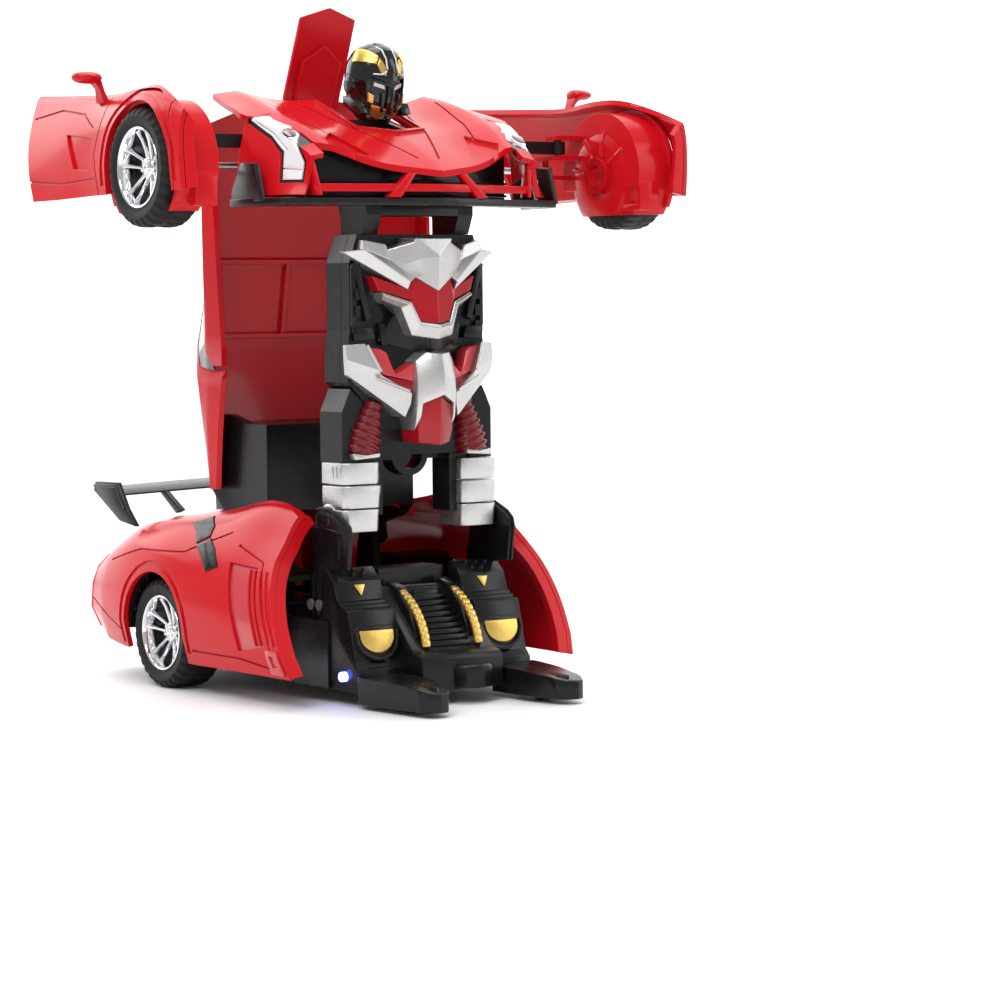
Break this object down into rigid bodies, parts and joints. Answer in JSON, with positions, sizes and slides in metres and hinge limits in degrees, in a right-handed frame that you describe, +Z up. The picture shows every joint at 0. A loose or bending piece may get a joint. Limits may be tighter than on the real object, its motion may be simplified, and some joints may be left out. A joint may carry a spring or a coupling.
{
  "type": "transforming robot car",
  "caption": "Toy sports car on wheels whose hood, doors and roof fold up on linked hinges into a standing robot with a pop-up head.",
  "frame": {"origin": "on the floor under the middle of the standing robot's footprint", "axes": "+X out of the robot's chest and along the car's nose, +Y to the robot's left, +Z up"},
  "size_m": [0.151, 0.1718, 0.1904],
  "materials": {
    "red_body": "glossy moulded plastic",
    "red_insert": "glossy, deeper red",
    "black_plastic": "satin",
    "gloss_black": "polished",
    "silver_paint": "metallic silver paint",
    "gold_paint": "metallic gold paint",
    "chrome_rim": "bright plated plastic",
    "tyre": "moulded tread",
    "steel": "bright",
    "lamp": "silver reflector",
    "tail_red": "clear red",
    "board": "green laminate",
    "cell": "shrink sleeve",
    "blue_light": "lit lens"
  },
  "bodies": {
    "chassis": {"chassis_tray": "black_plastic", "foot_block": "black_plastic", "gold_rails": "gold_paint", "gold_trim": "gold_paint", "toe_plates": "black_plastic", "ankle_brackets": "black_plastic", "roof_hinge_posts": "black_plastic", "rear_body_shell": "red_body", "engine_cover": "red_body", "rear_wing": "black_plastic", "tail_lamps": "tail_red", "drive_gearbox": "black_plastic", "drive_motors": "steel", "lift_gearbox": "black_plastic", "battery_cells": "cell", "battery_cover": "black_plastic", "circuit_board": "board", "under_lights": "blue_light", "chassis_screws": "steel"},
    "switch": {"power_switch": "black_plastic"},
    "torso": {"torso_back_shell": "black_plastic", "torso_front_shell": "black_plastic", "chest_plate": "silver_paint", "chest_insert": "red_insert", "waist_plate": "silver_paint", "waist_insert": "red_insert", "thigh_guards": "red_insert", "shin_guards": "silver_paint", "leg_frame": "black_plastic", "torso_screws": "steel"},
    "hood": {"hood_shell": "red_body", "headlights": "lamp", "front_splitter": "black_plastic", "grille_insert": "black_plastic", "hood_frame": "black_plastic"},
    "head": {"helmet": "gloss_black", "face_mask": "gold_paint", "visor_trim": "gold_paint"},
    "roof": {"roof_shell": "red_body", "windscreen": "gloss_black", "side_windows": "gloss_black", "roof_bracket": "black_plastic"},
    "rear_wheel_left": {"rear_tyre_left": "tyre", "rear_rim_left": "chrome_rim"},
    "castor_left": {"castor_roller_left": "black_plastic"},
    "lever_arm_left": {"lever_left": "black_plastic"},
    "link_left": {"link_rod_left": "steel"},
    "arm_left": {"fender_left": "red_body", "wheel_housing_left": "red_body"},
    "front_wheel_left": {"front_tyre_left": "tyre", "front_rim_left": "chrome_rim"},
    "rear_wheel_right": {"rear_tyre_right": "tyre", "rear_rim_right": "chrome_rim"},
    "castor_right": {"castor_roller_right": "black_plastic"},
    "lever_arm_right": {"lever_right": "black_plastic"},
    "link_right": {"link_rod_right": "steel"},
    "arm_right": {"fender_right": "red_body", "wheel_housing_right": "red_body"},
    "front_wheel_right": {"front_tyre_right": "tyre", "front_rim_right": "chrome_rim"}
  },
  "joints": [
    {"name": "torso_lift", "type": "hinge", "parent": "chassis", "child": "torso", "pos_m": [0.0273, 0, 0.0493], "axis": [0, 1, 0], "range_deg": [0, 110]},
    {"name": "hood_level", "type": "hinge", "parent": "torso", "child": "hood", "pos_m": [0.01922, 0, 0.14977], "axis": [0, 1, 0], "range_deg": [-111, 1]},
    {"name": "head_pop", "type": "slide", "parent": "hood", "child": "head", "axis": [0, 0, 1], "range_m": [-0.0248, 0.0002]},
    {"name": "roof_fold", "type": "hinge", "parent": "chassis", "child": "roof", "pos_m": [-0.0215, 0, 0.0404], "axis": [0, 1, 0], "range_deg": [-1, 91]},
    {"name": "rear_wheel_spin_left", "type": "hinge", "parent": "chassis", "child": "rear_wheel_left", "pos_m": [-0.0265, 0.041, 0.0155], "axis": [0, 1, 0], "continuous": true},
    {"name": "castor_spin_left", "type": "hinge", "parent": "chassis", "child": "castor_left", "pos_m": [0.0615, 0.0212, 0.003], "axis": [0, 1, 0], "continuous": true},
    {"name": "lever_swing_left", "type": "hinge", "parent": "hood", "child": "lever_arm_left", "pos_m": [0.01623, 0.0283, 0.15084], "axis": [0, 0, 1], "range_deg": [-1, 95]},
    {"name": "link_swing_left", "type": "hinge", "parent": "hood", "child": "link_left", "pos_m": [0.01023, 0.0283, 0.14444], "axis": [0, 0, 1], "range_deg": [-1, 95]},
    {"name": "arm_level_left", "type": "hinge", "parent": "lever_arm_left", "child": "arm_left", "pos_m": [0.01623, 0.0613, 0.15084], "axis": [0, 0, 1], "range_deg": [-95, 1]},
    {"name": "front_wheel_spin_left", "type": "hinge", "parent": "arm_left", "child": "front_wheel_left", "pos_m": [0.02716, 0.0763, 0.14274], "axis": [0, 1, 0], "continuous": true},
    {"name": "rear_wheel_spin_right", "type": "hinge", "parent": "chassis", "child": "rear_wheel_right", "pos_m": [-0.0265, -0.041, 0.0155], "axis": [0, 1, 0], "continuous": true},
    {"name": "castor_spin_right", "type": "hinge", "parent": "chassis", "child": "castor_right", "pos_m": [0.0615, -0.0212, 0.003], "axis": [0, 1, 0], "continuous": true},
    {"name": "lever_swing_right", "type": "hinge", "parent": "hood", "child": "lever_arm_right", "pos_m": [0.01623, -0.0283, 0.15084], "axis": [0, 0, 1], "range_deg": [-95, 1]},
    {"name": "link_swing_right", "type": "hinge", "parent": "hood", "child": "link_right", "pos_m": [0.01023, -0.0283, 0.14444], "axis": [0, 0, 1], "range_deg": [-95, 1]},
    {"name": "arm_level_right", "type": "hinge", "parent": "lever_arm_right", "child": "arm_right", "pos_m": [0.01623, -0.0613, 0.15084], "axis": [0, 0, 1], "range_deg": [-1, 95]},
    {"name": "front_wheel_spin_right", "type": "hinge", "parent": "arm_right", "child": "front_wheel_right", "pos_m": [0.02716, -0.0763, 0.14274], "axis": [0, 1, 0], "continuous": true},
    {"name": "power_slide", "type": "slide", "parent": "chassis", "child": "switch", "axis": [1, 0, 0], "range_m": [0, 0.003]}
  ],
  "couplings": [
    {"joint": "hood_level", "follows": "torso_lift", "ratio": -1},
    {"joint": "head_pop", "follows": "torso_lift", "m_per_rad": -0.012761},
    {"joint": "roof_fold", "follows": "torso_lift", "ratio": 0.81818},
    {"joint": "lever_swing_left", "follows": "torso_lift", "ratio": 0.85455},
    {"joint": "link_swing_left", "follows": "torso_lift", "ratio": 0.85455},
    {"joint": "arm_level_left", "follows": "torso_lift", "ratio": -0.85455},
    {"joint": "lever_swing_right", "follows": "torso_lift", "ratio": -0.85455},
    {"joint": "link_swing_right", "follows": "torso_lift", "ratio": -0.85455},
    {"joint": "arm_level_right", "follows": "torso_lift", "ratio": 0.85455}
  ]
}
